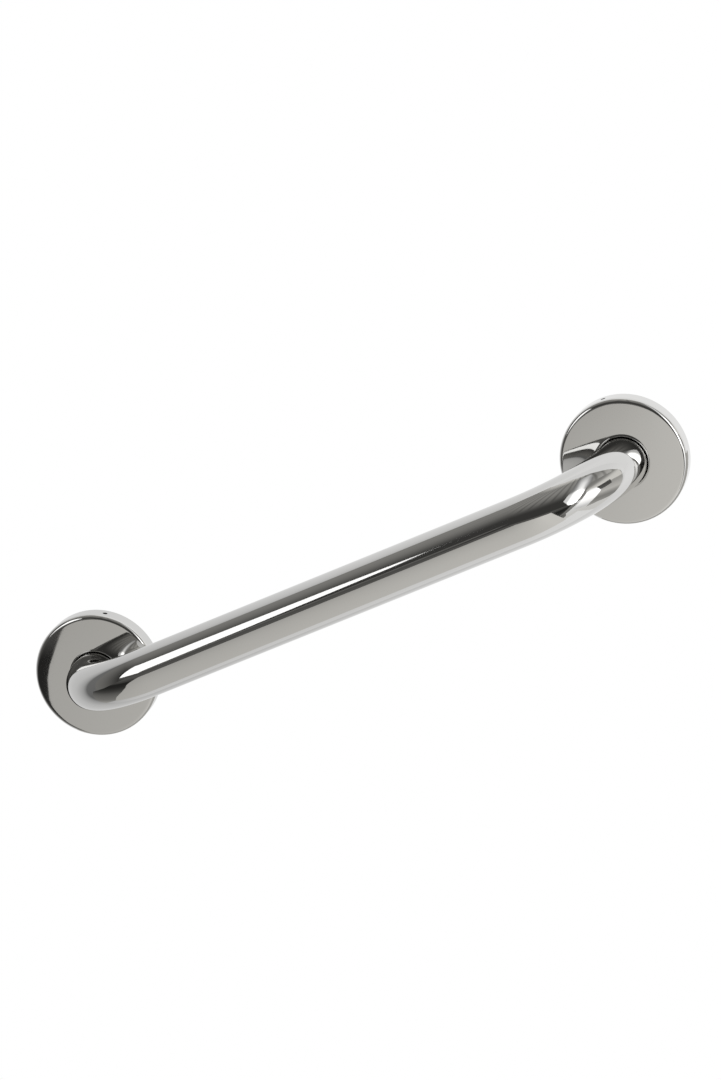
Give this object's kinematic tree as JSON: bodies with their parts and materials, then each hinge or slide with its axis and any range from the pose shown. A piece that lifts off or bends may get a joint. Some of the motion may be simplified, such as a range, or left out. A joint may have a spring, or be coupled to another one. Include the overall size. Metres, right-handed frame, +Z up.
{
  "type": "grab bar",
  "caption": "Straight wall-mounted grab bar of polished bent tube, with welded mounting flanges under loose round covers.",
  "frame": {"origin": "on the wall plane, midway between the axes of the two legs", "axes": "+X along the bar towards the right cover, the wall is y = 0 and the bar stands off it towards -Y, +Z up"},
  "size_m": [0.466, 0.091, 0.082],
  "materials": {
    "polished_tube": "polished",
    "polished_sheet": "polished",
    "pressed_plate": "satin",
    "set_screw_steel": "satin"
  },
  "bodies": {
    "rail": {"grab_tube": "polished_tube", "left_mounting_flange": "pressed_plate", "right_mounting_flange": "pressed_plate"},
    "left_cover_body": {"left_cover": "polished_sheet", "left_set_screw": "set_screw_steel"},
    "right_cover_body": {"right_cover": "polished_sheet", "right_set_screw": "set_screw_steel"}
  },
  "joints": [
    {"name": "left_cover_slide", "type": "slide", "parent": "rail", "child": "left_cover_body", "axis": [0, -1, 0], "range_m": [0, 0.007]},
    {"name": "right_cover_slide", "type": "slide", "parent": "rail", "child": "right_cover_body", "axis": [0, -1, 0], "range_m": [0, 0.007]}
  ]
}
